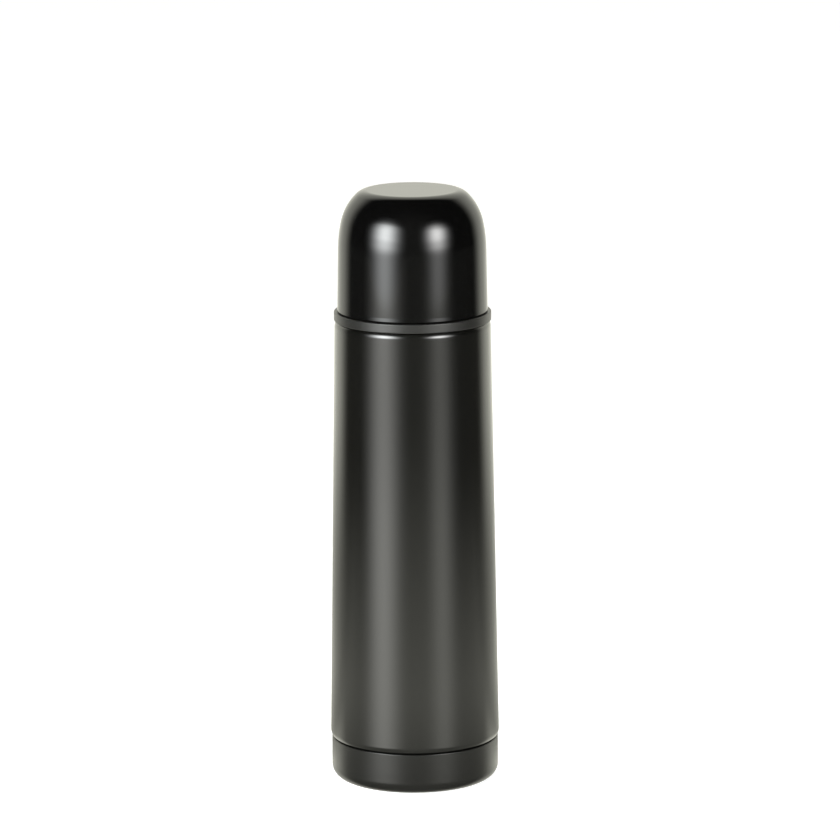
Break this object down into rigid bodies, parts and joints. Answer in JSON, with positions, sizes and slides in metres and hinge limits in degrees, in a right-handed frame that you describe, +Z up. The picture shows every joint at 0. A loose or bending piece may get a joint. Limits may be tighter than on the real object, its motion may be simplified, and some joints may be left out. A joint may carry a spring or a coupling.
{
  "type": "vacuum flask",
  "caption": "Double-walled steel flask with a domed screw-on drinking cup over a push-button pouring stopper.",
  "frame": {"origin": "on the flask's axis at the plane it stands on", "axes": "+Z up along the axis, -Y the side of the stopper's release slide"},
  "size_m": [0.0696, 0.0696, 0.2452],
  "materials": {
    "body_paint": "semi-matt metallic powder coat, charcoal",
    "cup_gloss": "polished, piano black",
    "collar_grey": "fine matt, dark grey",
    "vessel_steel": "drawn and electropolished stainless steel",
    "weld_steel": "plain pressed stainless steel",
    "solder": "dull cast bead",
    "foil": "bright foil",
    "getter_metal": "sintered grey",
    "liner_plastic": "moulded black polypropylene, satin",
    "foam": "expanded foam, fine cells",
    "stopper_plastic": "moulded black polypropylene",
    "base_plastic": "moulded dark polypropylene",
    "button_plastic": "satin dark grey",
    "slide_plastic": "moulded mid grey",
    "silicone": "translucent grey silicone",
    "spring_steel": "drawn spring wire"
  },
  "bodies": {
    "vessel": {"outer_shell": "body_paint", "outer_bottom": "weld_steel", "vacuum_seal": "solder", "getter": "getter_metal", "inner_vessel": "vessel_steel", "inner_bottom": "vessel_steel", "radiation_foil": "foil", "base_cap": "body_paint", "neck_collar": "collar_grey"},
    "cup_core": {"cup_foam": "foam"},
    "cup": {"cup_shell": "cup_gloss", "cup_liner": "liner_plastic"},
    "stopper_core": {"stopper_foam": "foam"},
    "stopper": {"stopper_housing": "stopper_plastic", "stopper_base": "base_plastic", "neck_seal": "silicone", "button_spring": "spring_steel", "latch_spring": "spring_steel"},
    "valve": {"push_button": "button_plastic", "valve_stem": "stopper_plastic", "valve_seal": "silicone"},
    "release": {"release_slide": "slide_plastic"}
  },
  "joints": [
    {"name": "cup_lift", "type": "slide", "parent": "vessel", "child": "cup_core", "axis": [0, 0, 1], "range_m": [0, 0.0451]},
    {"name": "cup_turn", "type": "hinge", "parent": "cup_core", "child": "cup", "pos_m": [0, 0, 0.197], "axis": [0, 0, 1], "range_deg": [0, 1800]},
    {"name": "stopper_lift", "type": "slide", "parent": "vessel", "child": "stopper_core", "axis": [0, 0, 1], "range_m": [0, 0.0225]},
    {"name": "stopper_turn", "type": "hinge", "parent": "stopper_core", "child": "stopper", "pos_m": [0, 0, 0.2], "axis": [0, 0, 1], "range_deg": [0, 1750]},
    {"name": "button_press", "type": "slide", "parent": "stopper", "child": "valve", "axis": [0, 0, 1], "range_m": [-0.0035, 0], "stiffness_N_per_m": 900, "springref_m": 0.004, "deforming": ["button_spring"]},
    {"name": "release_press", "type": "slide", "parent": "stopper", "child": "release", "axis": [0, 1, 0], "range_m": [0, 0.0014], "stiffness_N_per_m": 600, "springref_m": -0.001, "deforming": ["latch_spring"]}
  ],
  "couplings": [
    {"joint": "cup_lift", "follows": "cup_turn", "m_per_rad": 0.0014324},
    {"joint": "stopper_lift", "follows": "stopper_turn", "m_per_rad": 0.00073211}
  ]
}
